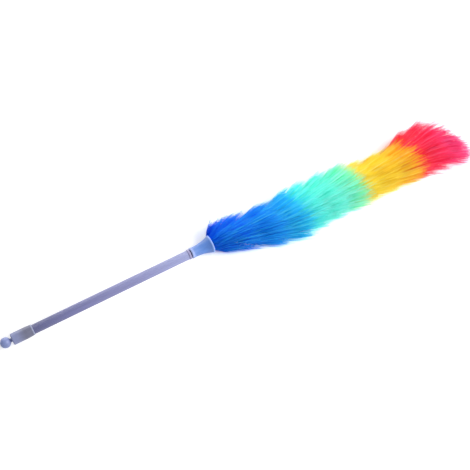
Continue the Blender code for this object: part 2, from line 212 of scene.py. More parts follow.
# How high fibres lie that would pass through the table
FLOOR_ALLOWANCE = 1.2 * MM

# The sums behind a fibre's path: what each gives, its operation, and what goes in
FIBRE_SUMS = (
    # Its place in the clump, which closes up towards the tip and sways to one side
    ("share", "MULTIPLY", "clump length", "fibre length"),
    ("share", "MULTIPLY", "share", "along"),
    ("close", "MULTIPLY_ADD", "along", CLOSED_SHARE - 1, 1.0),
    ("offset", "MULTIPLY", "fibre turn", "close"),
    ("turn", "ADD", "turn", "offset"),
    ("sway", "MULTIPLY", "share", "share"),
    ("turn", "MULTIPLY_ADD", "sway", "clump sway", "turn"),
    # How far out its tip stands: the side radius beside and below, blended to the top radius above
    ("sine", "SINE", "turn"),
    ("cosine", "COSINE", "turn"),
    ("near", "MULTIPLY_ADD", "place", "Near Growth", "Near"),
    ("far", "MULTIPLY_ADD", "place", "Far Growth", "Far"),
    ("top", "MULTIPLY_ADD", "place", "Top Growth", "Top"),
    ("side", "GREATER_THAN", "sine", 0.0),
    ("step", "SUBTRACT", "far", "near"),
    ("side", "MULTIPLY_ADD", "side", "step", "near"),
    ("lean", "MULTIPLY", "sine", "sine"),
    ("below", "LESS_THAN", "cosine", 0.0),
    ("lean", "MAXIMUM", "lean", "below"),
    ("step", "SUBTRACT", "side", "top"),
    ("tip", "MULTIPLY_ADD", "lean", "step", "top"),
    ("tip", "MULTIPLY", "tip", "fibre spread"),
    ("spread", "MULTIPLY_ADD", "clump height", CLUMP_SPREAD, CLUMP_MOST - CLUMP_SPREAD),
    ("stray", "POWER", "clump height", STRAY_POWER),
    ("spread", "MULTIPLY_ADD", "stray", STRAY_SHARE, "spread"),
    ("spread", "MULTIPLY_ADD", "lock", LOCK_SPREAD, "spread"),
    ("tip", "MULTIPLY", "tip", "spread"),
    # How far out it is here, with its crimp
    ("rise", "MULTIPLY_ADD", "share", 1 - RISE, RISE),
    ("rise", "MULTIPLY", "rise", "share"),
    ("step", "SUBTRACT", "tip", ROOT_RADIUS),
    ("radius", "MULTIPLY_ADD", "rise", "step", ROOT_RADIUS),
    ("wave", "MULTIPLY_ADD", "along", CRIMP_ANGLE, "fibre phase"),
    ("wave", "SINE", "wave"),
    ("wave", "MULTIPLY", "wave", "share"),
    ("radius", "MULTIPLY_ADD", "wave", CRIMP, "radius"),
    # How far along it is here
    ("gather", "MULTIPLY", "place", -LAYERING),
    ("gather", "ADD", "place", "gather"),
    ("station", "MULTIPLY_ADD", "gather", "Pitch", "Start"),
    ("station", "MULTIPLY_ADD", "fibre root", "close", "station"),
    ("reach", "MULTIPLY_ADD", "place", "Reach Growth", "Reach"),
    ("reach", "MULTIPLY_ADD", "Pitch", LAYERING / 2, "reach"),
    ("reach", "MULTIPLY_ADD", "sine", -SLANT, "reach"),
    ("swept", "POWER", "share", REACH_POWER),
    ("station", "MULTIPLY_ADD", "swept", "reach", "station"),
    # Fibres below fan out along the table
    ("dip", "DIVIDE", AXIS_HEIGHT - FLOOR_ALLOWANCE, "radius"),
    ("dip", "MINIMUM", "dip", 1.0),
    ("dip", "ARCSINE", "dip"),
    ("dip", "MULTIPLY_ADD", "dip", 1 / math.pi, 0.5),
    ("turn", "MULTIPLY", "turn", "dip"),
    ("sine", "SINE", "turn"),
    ("cosine", "COSINE", "turn"),
    # Where along its colour band it grows, and how thick it is here
    ("band", "ADD", "place", "fibre band"),
    ("band", "MULTIPLY_ADD", "band", "Band Length", "Band Start"),
    ("taper", "MULTIPLY_ADD", "along", TIP_TAPER - 1, 1.0),
    ("taper", "MULTIPLY", "taper", "Fibre Radius"),
    # Clumps and locks that stand proud are painted paler, and deep ones darker: painted light and
    # shade
    ("tint", "SUBTRACT", "clump height", "clump tint"),
    ("tint", "MULTIPLY_ADD", "tint", PROUD_PAINTED_LIGHT, "clump tint"),
    ("tint", "MULTIPLY_ADD", "lock", LOCK_PAINTED_LIGHT, "tint"),
)


def fibre_tree():
    """Draws one tuft. Each fibre leaves the core steeply and is swept forward, and fibres of one
    clump close up towards their tips."""
    tree, given = node_group("Fibre tuft", TUFT_INPUTS)
    known = {socket.name: socket for socket in given if socket.name}
    guide = add(tree, "GeometryNodeMeshToCurve", {"Mesh": given["Geometry"]})
    line = add(tree, "GeometryNodeCurvePrimitiveLine", {"End": (0, 0, 1)})
    line = add(tree, "GeometryNodeResampleCurve", {"Curve": line, "Count": FIBRE_POINTS})
    strands = add(
        tree,
        "GeometryNodeDuplicateElements",
        {"Geometry": line, "Amount": given["Fibres"]},
        domain="SPLINE",
    )
    known["fibre"] = strands.node.outputs["Duplicate Index"]
    known["along"] = add(tree, "GeometryNodeSplineParameter")
    clump = add(
        tree, "ShaderNodeMath", {0: known["fibre"], 1: given["Clump Size"]}, operation="DIVIDE"
    )
    known["clump"] = add(tree, "ShaderNodeMath", {0: clump}, operation="FLOOR")
    for number, (name, owner, least, most) in enumerate(DRAWS):
        seed = add(tree, "ShaderNodeMath", {0: given["Seed"], 1: float(number)}, operation="ADD")
        known[name] = add(
            tree,
            "FunctionNodeRandomValue",
            {"Min": least, "Max": most, "ID": known[owner], "Seed": seed},
        )

    # Clumps are spaced evenly down the tuft, and by the golden share round it
    clumps = add(
        tree, "ShaderNodeMath", {0: given["Fibres"], 1: given["Clump Size"]}, operation="DIVIDE"
    )
    place = add(
        tree, "ShaderNodeMath", {0: known["clump"], 1: known["clump place"]}, operation="ADD"
    )
    known["place"] = add(tree, "ShaderNodeMath", {0: place, 1: clumps}, operation="DIVIDE")
    turn = add(
        tree,
        "ShaderNodeMath",
        {0: known["clump"], 1: GOLDEN_SHARE, 2: known["clump turn"]},
        operation="MULTIPLY_ADD",
    )
    turn = add(tree, "ShaderNodeMath", {0: turn}, operation="FRACT")
    known["turn"] = add(
        tree, "ShaderNodeMapRange", {"Value": turn, "To Min": -math.pi, "To Max": math.pi}
    )
    # Neighbouring clumps gather into locks
    along = add(
        tree,
        "ShaderNodeMath",
        {0: known["place"], 1: given["Pitch"], 2: given["Start"]},
        operation="MULTIPLY_ADD",
    )
    side = add(
        tree, "ShaderNodeVectorRotate", {"Vector": (LOCK_RADIUS, 0, 0), "Angle": known["turn"]}
    )
    root = add(tree, "ShaderNodeCombineXYZ", {"Z": along})
    root = add(tree, "ShaderNodeVectorMath", {0: root, 1: side}, operation="ADD")
    lock = add(tree, "ShaderNodeTexNoise", {"Vector": root, "Scale": 1 / LOCK_SIZE, "Detail": 1.0})
    known["lock"] = add(
        tree,
        "ShaderNodeMapRange",
        {
            "Value": lock,
            "From Min": LOCK_NOISE[0],
            "From Max": LOCK_NOISE[1],
            "To Min": -1.0,
            "To Max": 1.0,
        },
    )
    for name, operation, *sources in FIBRE_SUMS:
        inputs = {i: known.get(source, source) for i, source in enumerate(sources)}
        known[name] = add(tree, "ShaderNodeMath", inputs, operation=operation)

    centre = add(
        tree,
        "GeometryNodeSampleCurve",
        {"Curves": guide, "Length": known["station"]},
        mode="LENGTH",
    ).node.outputs["Position"]
    out = add(tree, "ShaderNodeCombineXYZ", {"Y": known["sine"], "Z": known["cosine"]})
    position = add(
        tree,
        "ShaderNodeVectorMath",
        {0: out, 1: known["radius"], 2: centre},
        operation="MULTIPLY_ADD",
    )
    # What would pass through the table lies on it. No fibre is a metre out in x or y.
    position = add(
        tree,
        "ShaderNodeVectorMath",
        {0: position, 1: (-1, -1, FLOOR_ALLOWANCE)},
        operation="MAXIMUM",
    )
    # The film lies flat on the plume, rolled a little by chance
    roll = add(
        tree,
        "FunctionNodeRandomValue",
        {"Min": (-ROLL,) * 3, "Max": (ROLL,) * 3, "ID": known["fibre"], "Seed": given["Seed"]},
        data_type="FLOAT_VECTOR",
    )
    inward = add(tree, "ShaderNodeVectorMath", {0: roll, 1: out}, operation="SUBTRACT")
    inward = add(tree, "ShaderNodeVectorMath", {0: inward}, operation="NORMALIZE")

    for name, field in (
        ("fibre_share", "share"),
        ("band_share", "band"),
        ("fibre_tint", "fibre tint"),
        ("clump_tint", "tint"),
    ):
        strands = add(
            tree,
            "GeometryNodeStoreNamedAttribute",
            {"Geometry": strands, "Name": name, "Value": known[field]},
            domain="POINT",
        )
    strands = add(tree, "GeometryNodeSetPosition", {"Geometry": strands, "Position": position})
    strands = add(
        tree, "GeometryNodeSetCurveNormal", {"Curve": strands, "Normal": inward}, mode="FREE"
    )
    film = add(tree, "GeometryNodeCurvePrimitiveCircle", {"Resolution": FILM_SIDES, "Radius": 1.0})
    film = add(tree, "GeometryNodeTransform", {"Geometry": film, "Scale": (FILM_SHARE, 1.0, 1.0)})
    tuft = add(
        tree,
        "GeometryNodeCurveToMesh",
        {"Curve": strands, "Profile Curve": film, "Scale": known["taper"], "Fill Caps": True},
    )
    tuft = add(tree, "GeometryNodeRealizeInstances", {"Geometry": tuft})
    tuft = add(tree, "GeometryNodeSetMaterial", {"Geometry": tuft, "Material": given["Material"]})
    add(tree, "NodeGroupOutput", {"Geometry": tuft})
    return tree


def guide_mesh():
    """The plume's centre line, as a chain of edges from the first root to beyond the last tip."""
    count = round((PLUME_LENGTH + GUIDE_SPARE) / GUIDE_STEP) + 1
    points = []
    for i in range(count):
        station = PLUME_START + i * GUIDE_STEP
        share = min(max((station - PLUME_START) / DRIFT_LENGTH, 0), 1)
        curled = max((station - (PLUME_START + PLUME_LENGTH - CURL_SETBACK)) / CURL_LENGTH, 0)
        curl = curled * curled if curled < 1 else 2 * curled - 1
        lean = DRIFT * share * share * (3 - 2 * share) + CURL * curl
        points.append((BUTT_X + station, AXIS_Y - lean, AXIS_HEIGHT))
    mesh = bpy.data.meshes.new("plume_guide")
    mesh.from_pydata(points, [(i, i + 1) for i in range(count - 1)], [])
    return mesh


def set_stops(ramp, stops):
    """Gives a colour ramp its stops: places from 0 to 1, each with a hex colour."""
    elements = ramp.node.color_ramp.elements
    while len(elements) < len(stops):
        elements.new(1.0)
    for element, (place, colour) in zip(elements, stops):
        element.position = place
        element.color = linear(colour)


# A clump's share of dye, as a power of the colour, and how dark the deepest are. Both follow its
# tint, which is partly chance and partly painted light and shade for how far it stands out.
DYE_AND_SHADE_MOST = 1.7
DYE_AND_SHADE_LEAST = 0.45
CLUMP_SHADE = 0.9
# How much paler and darker single fibres look
GLINT = 0.08
# Where along a fibre its paler tip starts, and how much of the tip's colour shows at the end.
# The paler tip is painted light, for light through the thin film.
TIP_START = 0.6
TIP_SHARE = 0.6
# Satin film: its roughness from one fibre to another, and a weak gloss
FIBRE_ROUGHNESS = (0.38, 0.58)
FIBRE_SPECULAR = 0.2
# How much light the film lets through to what is behind it, and how much of its dye that takes on
FILM_PASSES = 0.99
FILM_STAIN = 0.5


def fibre_material(name, band, tips):
    """Split-film polypropylene fibre, dyed in the mass. The film is satin and a little see-through,
    and its thin tip is painted paler: painted light, for light through the film. The dye shifts
    down the band, and each clump takes more or less of it, which makes it deeper or paler: partly
    by chance, and partly painted light and shade, with proud clumps paler and deep ones darker."""
    material = bpy.data.materials.new(name)
    material.use_nodes = True
    tree = material.node_tree
    shader = tree.nodes["Principled BSDF"]
    known = {
        attribute: add(tree, "ShaderNodeAttribute", attribute_name=attribute).node.outputs["Fac"]
        for attribute in ("band_share", "fibre_share", "fibre_tint", "clump_tint")
    }
    colour = add(tree, "ShaderNodeValToRGB", {"Fac": known["band_share"]})
    set_stops(colour, band)
    # Clumps low in the tint take deeper dye and a darker value: partly chance, partly painted shade
    dye_and_shade = add(
        tree,
        "ShaderNodeMapRange",
        {"Value": known["clump_tint"], "To Min": DYE_AND_SHADE_MOST, "To Max": DYE_AND_SHADE_LEAST},
    )
    colour = add(tree, "ShaderNodeGamma", {"Color": colour, "Gamma": dye_and_shade})
    strength = add(
        tree,
        "ShaderNodeMapRange",
        {"Value": known["clump_tint"], "To Min": CLUMP_SHADE, "To Max": 1.0},
    )
    glint = add(
        tree,
        "ShaderNodeMapRange",
        {"Value": known["fibre_tint"], "To Min": 1 - GLINT, "To Max": 1 + GLINT},
    )
    strength = add(tree, "ShaderNodeMath", {0: strength, 1: glint}, operation="MULTIPLY")
    colour = add(tree, "ShaderNodeHueSaturation", {"Color": colour, "Value": strength})
    # The last part of a fibre is thin and painted paler: painted light, for light through the film
    pale = add(tree, "ShaderNodeValToRGB", {"Fac": known["band_share"]})
    set_stops(pale, tips)
    thin = add(
        tree,
        "ShaderNodeMapRange",
        {"Value": known["fibre_share"], "From Min": TIP_START, "To Max": TIP_SHARE},
    )
    colour = add(tree, "ShaderNodeMix", {"Factor": thin, 6: colour, 7: pale}, data_type="RGBA")
    tree.links.new(colour, shader.inputs["Base Color"])
    smooth, dull = FIBRE_ROUGHNESS
    rough = add(
        tree,
        "ShaderNodeMapRange",
        {"Value": known["fibre_tint"], "To Min": smooth, "To Max": dull},
    )
    tree.links.new(rough, shader.inputs["Roughness"])
    shader.inputs["IOR"].default_value = POLYPROPYLENE_IOR
    shader.inputs["Specular IOR Level"].default_value = FIBRE_SPECULAR
    # Light passes through the thin film and takes on some of its dye
    rays = add(tree, "ShaderNodeLightPath").node.outputs
    passed = add(
        tree, "ShaderNodeMath", {0: rays["Is Shadow Ray"], 1: FILM_PASSES}, operation="MULTIPLY"
    )
    stain = add(tree, "ShaderNodeGamma", {"Color": colour, "Gamma": FILM_STAIN})
    clear = add(tree, "ShaderNodeBsdfTransparent", {"Color": stain})
    film = add(tree, "ShaderNodeMixShader", {0: passed, 1: shader.outputs["BSDF"], 2: clear})
    tree.links.new(film, tree.nodes["Material Output"].inputs["Surface"])
    return material


# Each colour's fibre: name, dye down the band, and painted paler tips down the band (painted light)
FIBRE_FINISHES = {
    "blue": (
        "dyed_polypropylene_fibre_blue",
        ((0.0, "#0488FF"), (0.2, "#0488FF"), (0.5, "#08A8FF"), (0.85, "#18C8FF"), (1.0, "#28D8FF")),
        ((0.0, "#34B8FF"), (0.6, "#48D4FF"), (1.0, "#60FFFF")),
    ),
    "turquoise": (
        "dyed_polypropylene_fibre_turquoise",
        ((0.0, "#50F0FC"), (0.2, "#68FFF4"), (0.6, "#78FFF0"), (0.9, "#90FFE0"), (1.0, "#A4FFD0")),
        ((0.0, "#80FCF8"), (0.6, "#A8FCF0"), (1.0, "#CCFCA8")),
    ),
    "yellow": (
        "dyed_polypropylene_fibre_yellow",
        ((0.0, "#FFF050"), (0.2, "#FFE83A"), (0.6, "#FFDE34"), (0.85, "#FFD232"), (1.0, "#FFC030")),
        ((0.0, "#FFF060"), (0.6, "#FFE848"), (1.0, "#FFA840")),
    ),
    "red": (
        "dyed_polypropylene_fibre_red",
        ((0.0, "#FF6C30"), (0.1, "#FF3444"), (0.5, "#FF2A58"), (0.8, "#FF3A82"), (1.0, "#FF4CA4")),
        ((0.0, "#FF5058"), (0.5, "#FF589C"), (1.0, "#FF98E8")),
    ),
}

# Tip distances from the plume's centre line in millimetres at the ends of the twelve tufts:
# near side first and last, far side first and last, top first and last, reach first and last
TUFT_SIZES = (
    (21, 37, 33, 33, 25, 28, 12, 60),
    (37, 40, 34, 33, 28, 29, 60, 68),
    (40, 49, 35, 42, 29, 31, 68, 72),
    (41, 42, 41, 41, 31, 30, 66, 68),
    (40, 39, 40, 41, 30, 29, 68, 72),
    (39, 42, 41, 39, 30, 30, 72, 80),
    (39, 39, 34, 31, 28, 27, 68, 70),
    (38, 39, 31, 29, 27, 29, 70, 76),
    (41, 42, 29, 36, 29, 33, 76, 82),
    (42, 42, 37, 47, 31, 37, 64, 68),
    (41, 40, 49, 49, 37, 37, 68, 70),
    (38, 17, 49, 9, 37, 9, 70, 78),
)
FIBRES_PER_TUFT = 5200
CLUMP_SIZE = 10
# Half a fibre's width at its root. The real fibre is finer: it is drawn coarser, so that it shows.
FIBRE_RADIUS = 0.32 * MM
# Each tuft takes its chance from its own stretch of seeds
SEED_STEP = 100


def make_tufts():
    """Twelve tufts down the core, three of each colour."""
    tree = fibre_tree()
    guide = guide_mesh()
    pitch = PLUME_LENGTH / len(TUFT_SIZES)
    for tuft, sizes in enumerate(TUFT_SIZES):
        band, number = divmod(tuft, TUFTS_PER_COLOUR)
        colour = COLOURS[band]
        if number == 0:
            material = fibre_material(*FIBRE_FINISHES[colour])
        settings = {
            "Fibres": FIBRES_PER_TUFT,
            "Clump Size": CLUMP_SIZE,
            "Seed": SEED_STEP * tuft,
            "Start": tuft * pitch,
            "Pitch": pitch,
            "Band Start": number / TUFTS_PER_COLOUR,
            "Band Length": 1 / TUFTS_PER_COLOUR,
            "Fibre Radius": FIBRE_RADIUS,
            "Material": material,
        }
        for i, side in enumerate(("Near", "Far", "Top", "Reach")):
            first, last = sizes[2 * i], sizes[2 * i + 1]
            settings[side] = first * MM
            settings[f"{side} Growth"] = (last - first) * MM
        mesh = grown(tree, guide.copy(), settings)
        finish_piece(
            f"{colour}_fibres_{number + 1}",
            mesh,
            "head",
            f"{colour}_fibre",
            f"{colour}_tuft_{number + 1}",
        )


# The handle's turned pieces: steps round them, steps in an arc, the most of an edge that an arc
# takes up, how close points are joined, and the gap that pieces fit with
TURNED_STEPS = 96
ARC_POINTS = 6
ARC_SHARE = 0.49
WELD = 0.001 * MM
FIT_GAP = 0.3 * MM


def rounded(profile, radii):
    """A closed (x, radius) profile with its corners rounded by an arc of its own radius each."""
    points = []
    count = len(profile)
    for i, (corner, radius) in enumerate(zip(profile, radii)):
        here = Vector(corner)
        before = Vector(profile[i - 1]) - here
        after = Vector(profile[(i + 1) % count]) - here
        if radius == 0:
            points.append(tuple(here))
            continue
        half = before.angle(after) / 2
        room = min(before.length, after.length) * ARC_SHARE
        cut = min(radius / math.tan(half), room)
        first, last = here + before.normalized() * cut, here + after.normalized() * cut
        for j in range(ARC_POINTS + 1):
            share = j / ARC_POINTS
            rest = 1 - share
            points.append(tuple(first * rest**2 + 2 * here * share * rest + last * share**2))
    return points


def turned(profile, material):
    """A mesh turned round the handle's axis from a closed profile."""
    bm = bmesh.new()
    rings = []
    for i in range(TURNED_STEPS):
        turn = 2 * math.pi * i / TURNED_STEPS
        rings.append(
            [
                bm.verts.new((x, AXIS_Y + r * math.sin(turn), AXIS_HEIGHT + r * math.cos(turn)))
                for x, r in profile
            ]
        )
    for here, following in zip(rings, rings[1:] + rings[:1]):
        for i in range(len(profile)):
            if profile[i - 1][1] == 0 and profile[i][1] == 0:
                continue
            bm.faces.new((here[i], here[i - 1], following[i - 1], following[i]))
    bmesh.ops.remove_doubles(bm, verts=bm.verts, dist=WELD)
    bmesh.ops.recalc_face_normals(bm, faces=bm.faces)
    for face in bm.faces:
        face.smooth = True
    mesh = bpy.data.meshes.new("turned")
    bm.to_mesh(mesh)
    bm.free()
    mesh.materials.append(material)
    return mesh


# From the butt to the ferrule's rim
HANDLE_LENGTH = 313.4 * MM
# How much darker a flute is painted at its bottom: painted shade in the hollow
FLUTE_SHADE = 0.45
# The cloud in a plastic: the range of the noise that makes it, how much glossier and duller it
# makes the surface, and how strongly and how deeply it dents it
CLOUD_NOISE = (0.3, 0.7)
GLOSSIER = 0.06
DULLER = 0.08
DENT_STRENGTH = 0.15
DENT_DEPTH = 0.1 * MM


def plastic(name, stops, cloud_size, streak, roughness, shading=0.0625):
    """Satin plastic with a faint cloud in its colour, gloss and surface. Its colours stand at
    shares of the handle's length. The cloud is drawn out along the handle by the streak, and makes
    the plastic lighter or darker by the shading. The flutes' hollows are painted darker: painted
    shade."""
    material = bpy.data.materials.new(name)
    material.use_nodes = True
    tree = material.node_tree
    shader = tree.nodes["Principled BSDF"]
    place = add(tree, "ShaderNodeTexCoord").node.outputs["Object"]
    along = add(tree, "ShaderNodeSeparateXYZ", {"Vector": place})
    along = add(
        tree,
        "ShaderNodeMapRange",
        {"Value": along, "From Min": BUTT_X, "From Max": BUTT_X + HANDLE_LENGTH},
    )
    colour = add(tree, "ShaderNodeValToRGB", {"Fac": along})
    set_stops(colour, stops)
    drawn_out = add(tree, "ShaderNodeMapping", {"Vector": place, "Scale": (1 / streak, 1, 1)})
    cloud = add(
        tree, "ShaderNodeTexNoise", {"Vector": drawn_out, "Scale": 1 / cloud_size, "Detail": 4.0}
    )
    shade = add(
        tree,
        "ShaderNodeMapRange",
        {
            "Value": cloud,
            "From Min": CLOUD_NOISE[0],
            "From Max": CLOUD_NOISE[1],
            "To Min": 1 + shading,
            "To Max": 1 - shading,
        },
    )
    # Painted shade: darker towards each flute's bottom
    flute = add(tree, "ShaderNodeAttribute", attribute_name="flute_share").node.outputs["Fac"]
    shade = add(
        tree, "ShaderNodeMath", {0: flute, 1: -FLUTE_SHADE, 2: shade}, operation="MULTIPLY_ADD"
    )
    colour = add(tree, "ShaderNodeHueSaturation", {"Color": colour, "Value": shade})
    tree.links.new(colour, shader.inputs["Base Color"])
    rough = add(
        tree,
        "ShaderNodeMapRange",
        {"Value": cloud, "To Min": roughness - GLOSSIER, "To Max": roughness + DULLER},
    )
    tree.links.new(rough, shader.inputs["Roughness"])
    dent = add(
        tree,
        "ShaderNodeBump",
        {"Height": cloud, "Strength": DENT_STRENGTH, "Distance": DENT_DEPTH},
    )
    tree.links.new(dent, shader.inputs["Normal"])
    shader.inputs["IOR"].default_value = POLYPROPYLENE_IOR
    return material


# Each plastic: name, colours along the handle, cloud size, streak, roughness and any other shading
HANDLE_FINISHES = {
    # Milky polypropylene, moulded: the ball, and the cap, which is darker over its front part. The
    # pale line at the cap's front rim is a painted highlight.
    "milky": (
        "milky_polypropylene_moulded",
        (
            (0.0, "#7E8EC8"),
            (0.05, "#868EBA"),
            (0.08, "#8288AE"),
            (0.11, "#6C6E86"),
            (0.142, "#6C6E86"),
            # Painted highlight on the cap's front rim
            (0.146, "#B0B8D8"),
        ),
        6 * MM,
        2.0,
        0.42,
    ),
    # Lilac polypropylene, drawn out through a die, which leaves faint lines along it. The real
    # lines are finer: they are drawn coarser, so that they show. It is painted darker towards the
    # butt: painted shade for light that falls off along the handle.
    "lilac": (
        "lilac_polypropylene_extruded",
        ((0.12, "#5A5C84"), (0.3, "#6E70A0"), (0.6, "#8688B6"), (0.88, "#9AA0CC")),
        1.2 * MM,
        60.0,
        0.26,
        0.1125,
    ),
    # Milky polypropylene over the roots of the blue fibre, which shine through. The pale line
    # at its rim is a painted highlight.
    "bell": (
        "milky_polypropylene_over_fibre",
        (
            (0.9, "#A4B4E8"),
            (0.907, "#9CB0E6"),
            (0.915, "#7294D8"),
            (0.95, "#5C88D4"),
            (0.992, "#4E76BE"),
            # Painted highlight at the rim
            (0.998, "#A0C0FF"),
        ),
        6 * MM,
        2.0,
        0.42,
    ),
    # The tube's lilac polypropylene, moulded, so it is even and satin
    "ring": (
        "lilac_polypropylene_moulded",
        ((0.0, "#9C98C0"), (1.0, "#9C98C0")),
        4 * MM,
        2.0,
        0.36,
    ),
    # Darker polypropylene, drawn out too, with faint lines along it that are drawn coarser to show
    "inner": (
        "dark_polypropylene_extruded",
        ((0.0, "#5E6088"), (1.0, "#5E6088")),
        1.5 * MM,
        40.0,
        0.42,
    ),
    # Natural acetal, turned: off-white, with fine rings from the tool
    "bush": ("natural_acetal_turned", ((0.0, "#D8D6CC"), (1.0, "#D8D6CC")), 0.4 * MM, 0.1, 0.4),
    # Nitrile rubber with carbon black, moulded: dull and finely mottled
    "rubber": (
        "black_nitrile_rubber_moulded",
        ((0.0, "#1C1C1E"), (1.0, "#1C1C1E")),
        0.5 * MM,
        1.0,
        0.7,
    ),
    # Polypropylene without dye, moulded: pale, even and satin
    "plug": (
        "natural_polypropylene_moulded",
        ((0.0, "#C8CCD4"), (1.0, "#C8CCD4")),
        3 * MM,
        1.0,
        0.45,
    ),
}

# The wire's lines: how wide and how long for their width, and its roughness in and between them
WIRE_LINE = 0.3 * MM
WIRE_STREAK = 50.0
WIRE_ROUGHNESS = (0.35, 0.5)


def wire_material():
    """Galvanised steel wire, drawn and dipped: dull zinc with fine lines along it. The real lines
    are finer: they are drawn coarser, so that they show."""
    material = bpy.data.materials.new("galvanised_steel_wire")
    material.use_nodes = True
    tree = material.node_tree
    shader = tree.nodes["Principled BSDF"]
    place = add(tree, "ShaderNodeTexCoord").node.outputs["Object"]
    drawn_out = add(tree, "ShaderNodeMapping", {"Vector": place, "Scale": (1 / WIRE_STREAK, 1, 1)})
    lines = add(
        tree, "ShaderNodeTexNoise", {"Vector": drawn_out, "Scale": 1 / WIRE_LINE, "Detail": 3.0}
    )
    colour = add(
        tree,
        "ShaderNodeMix",
        {"Factor": lines, 6: linear("#A4A8AA"), 7: linear("#C2C5C6")},
        data_type="RGBA",
    )
    tree.links.new(colour, shader.inputs["Base Color"])
    smooth, dull = WIRE_ROUGHNESS
    rough = add(tree, "ShaderNodeMapRange", {"Value": lines, "To Min": smooth, "To Max": dull})
    tree.links.new(rough, shader.inputs["Roughness"])
    shader.inputs["Metallic"].default_value = 1.0
    return material


# Steps of the ball's outline
BALL_STEPS = 32


def make_ball(material):
    """Ball, neck and the barb that snaps into the cap."""
    low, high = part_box("ball_knob")
    ball = (high.z - low.z) / 2
    centre = low.x + ball
    neck, barb, point = 2.6 * MM, 3.5 * MM, 2.0 * MM
    barb_length, barb_edge = 3.4 * MM, 0.8 * MM
    start = math.asin(neck / ball)
    arc = []
    for i in range(BALL_STEPS):
        turn = start + (math.pi - start) * i / BALL_STEPS
        arc.append((centre + ball * math.cos(turn), ball * math.sin(turn)))
    catch = high.x - barb_length
    profile = [
        (high.x, 0.0),
        (high.x, point),
        (catch + barb_edge, barb),
        (catch, barb),
        (catch, neck),
        *arc,
        (low.x, 0.0),
    ]
    mesh = turned(profile, material)
    finish_piece("ball_knob_moulded", mesh, "handle", "milky_plastic", "ball_knob")


def make_cap(material):
    """A sleeve that tapers to a thin rim, with an end wall that the ball's neck goes through."""
    low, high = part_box("end_cap")
    outer, bore, hole = 8.0 * MM, 6.9 * MM, 2.9 * MM
    rim, taper = bore + 0.5 * MM, 9 * MM
    corner, wall = 1.2 * MM, 2 * MM
    profile = [
        (high.x, rim),
        (high.x - taper, outer),
        (low.x + corner, outer),
        (low.x, outer - corner),
        (low.x, hole),
        (low.x + wall, hole),
        (low.x + wall, bore),
        (high.x, bore),
    ]
    radii = [0.2 * MM, 6 * MM, corner, 0.6 * MM, 0.2 * MM, 0, 0, 0.1 * MM]
    mesh = turned(rounded(profile, radii), material)
    finish_piece("end_cap_moulded", mesh, "handle", "milky_plastic", "end_cap")


def make_ring(material):
    """A collar that butts on the tube's front end, with a sleeve that plugs into it."""
    low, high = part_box("mouth_ring")
    collar, sleeve, bore = 7.35 * MM, 5.1 * MM, 4.1 * MM
    collar_length = 3 * MM
    step = high.x - collar_length
    profile = [
        (high.x, bore),
        (high.x, collar),
        (step, collar),
        (step, sleeve),
        (low.x, sleeve),
        (low.x, bore),
    ]
    radii = [0.2 * MM, 0.6 * MM, 0.3 * MM, 0, 0, 0]
    mesh = turned(rounded(profile, radii), material)
    finish_piece("mouth_ring_moulded", mesh, "handle", "lilac_plastic", "mouth_ring")


def make_inner_tube(material):
    """The plain sliding tube. Gives its radius."""
    low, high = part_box("inner_tube")
    wall = 0.9 * MM
    radius = (high.z - low.z) / 2
    bore = radius - wall
    profile = [(high.x, radius), (low.x, radius), (low.x, bore), (high.x, bore)]
    mesh = turned(profile, material)
    finish_piece("inner_tube_extruded", mesh, "head", "inner_plastic", "inner_tube")
    return radius


# The bell's flare: its steps, and how late it opens
FLARE_STEPS = 24
FLARE_POWER = 2.3


def make_ferrule(material, tube_radius):
    """A short lip, then a bell that flares out over the fibre's roots. Inside are a socket for the
    inner tube and a wider seat for the core's plug."""
    low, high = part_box("ferrule")
    nose, bell, wall = 7.45 * MM, 13.1 * MM, 1.3 * MM
    lip_height, lip_length, rim_bulge = 0.4 * MM, 2.8 * MM, 0.25 * MM
    plug, socket_depth, seat_depth = 5.15 * MM, 14 * MM, 22 * MM
    lip, lip_end = nose + lip_height, low.x + lip_length
    flare = []
    for i in range(FLARE_STEPS + 1):
        share = i / FLARE_STEPS
        opened = share**FLARE_POWER
        flare.append((lip_end + (high.x - lip_end) * share, nose + (bell - nose) * opened))
    socket, socket_end = tube_radius + FIT_GAP, low.x + socket_depth - FIT_GAP
    seat, seat_end = plug + 2 * FIT_GAP, low.x + seat_depth
    bore = [(low.x, socket), (socket_end, socket), (socket_end, seat), (seat_end, seat)]
    bore += [(x, r - wall) for x, r in flare if x > seat_end and r - wall > seat]
    rim = [(high.x + rim_bulge, bell - wall / 2)]
    outside = rim + flare[::-1] + [(lip_end, lip), (low.x, lip)]
    mesh = turned(outside + bore, material)
    finish_piece("ferrule_moulded", mesh, "head", "milky_plastic", "ferrule")


TUBE_INPUTS = (
    ("Radius", "Float"),
    ("Bore", "Float"),
    ("Flute Depth", "Float"),
    ("Length", "Float"),
    ("Flutes", "Int"),
    ("Material", "Material"),
)
FLUTES = 20
POINTS_PER_FLUTE = 12


